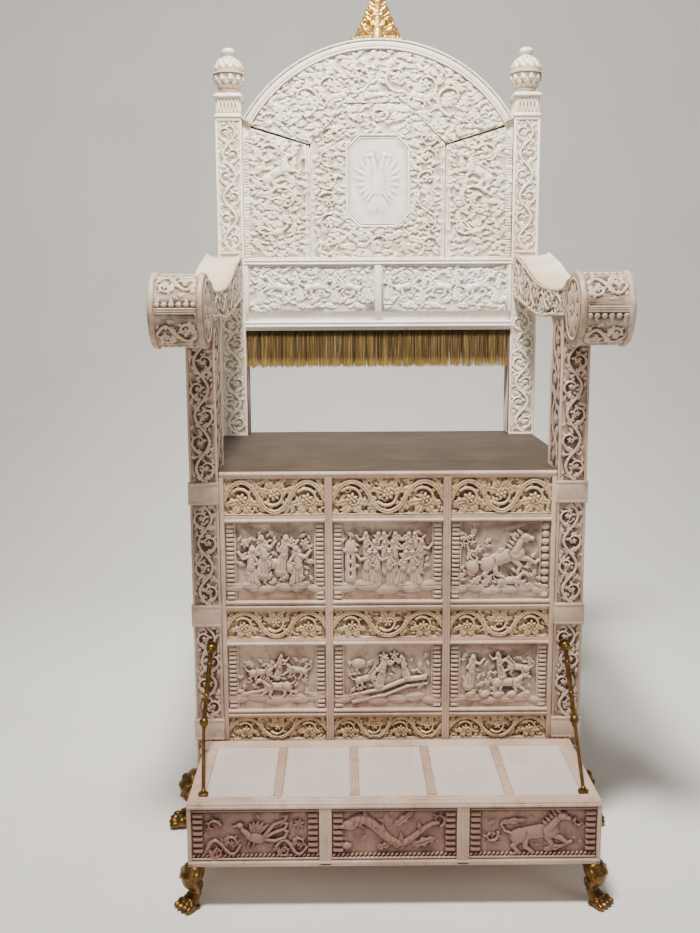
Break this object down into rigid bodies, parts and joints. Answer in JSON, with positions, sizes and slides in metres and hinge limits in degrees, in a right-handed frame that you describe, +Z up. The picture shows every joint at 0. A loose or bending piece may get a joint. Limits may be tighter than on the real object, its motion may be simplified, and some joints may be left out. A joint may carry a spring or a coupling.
{
  "type": "carved ivory-clad throne with footrest",
  "caption": "High-backed ceremonial throne clad in carved ivory plaques, with an arched back, scrolled arms, a gold fringe and a footrest on gilt paw feet.",
  "frame": {"origin": "on the floor under the middle of the whole throne, footrest included", "axes": "+Z up, +Y towards the back of the throne, +X to the right as seen by someone facing it"},
  "size_m": [0.7712, 0.7808, 1.556],
  "materials": {
    "ivory": "satin, carved, cream with brown patina in the hollows",
    "aged_ivory": "satin, carved, ochre patina",
    "pale_ivory": "smooth satin",
    "seat_wood": "dull grey-brown",
    "gilt_metal": "worn gilding",
    "gold_thread": "metal thread, dark gold with yellow ends"
  },
  "bodies": {
    "root": {"arch_panel_left": "ivory", "arch_panel_right": "ivory", "arm_left": "aged_ivory", "arm_right": "aged_ivory", "back_board": "ivory", "back_post_left": "ivory", "back_post_right": "ivory", "back_rail": "pale_ivory", "back_side_panel_left": "ivory", "back_side_panel_right": "ivory", "body_foot_front_left": "gilt_metal", "body_foot_front_right": "gilt_metal", "body_foot_rear_left": "gilt_metal", "body_foot_rear_right": "gilt_metal", "centre_panel": "ivory", "crest_finial": "gilt_metal", "footrest_box": "ivory", "footrest_foot_left": "gilt_metal", "footrest_foot_right": "gilt_metal", "footrest_front_left": "ivory", "footrest_front_middle": "ivory", "footrest_front_right": "ivory", "footrest_plate_1": "pale_ivory", "footrest_plate_2": "pale_ivory", "footrest_plate_3": "pale_ivory", "footrest_plate_4": "pale_ivory", "footrest_plate_5": "pale_ivory", "frieze_1_left": "aged_ivory", "frieze_1_middle": "aged_ivory", "frieze_1_right": "aged_ivory", "frieze_3_left": "aged_ivory", "frieze_3_middle": "aged_ivory", "frieze_3_right": "aged_ivory", "frieze_5_left": "aged_ivory", "frieze_5_middle": "aged_ivory", "frieze_5_right": "aged_ivory", "fringe": "gold_thread", "front_frame": "ivory", "front_post_left": "ivory", "front_post_right": "ivory", "medallion": "pale_ivory", "post_finial_left": "ivory", "post_finial_right": "ivory", "rail_plaque_left": "pale_ivory", "rail_plaque_right": "pale_ivory", "rear_board": "ivory", "roll_left": "ivory", "roll_right": "ivory", "scene_2_left": "ivory", "scene_2_middle": "ivory", "scene_2_right": "ivory", "scene_4_left": "ivory", "scene_4_middle": "ivory", "scene_4_right": "ivory", "seat_board": "seat_wood", "side_board_left": "ivory", "side_board_right": "ivory", "stay_left": "gilt_metal", "stay_right": "gilt_metal"}
  },
  "joints": []
}
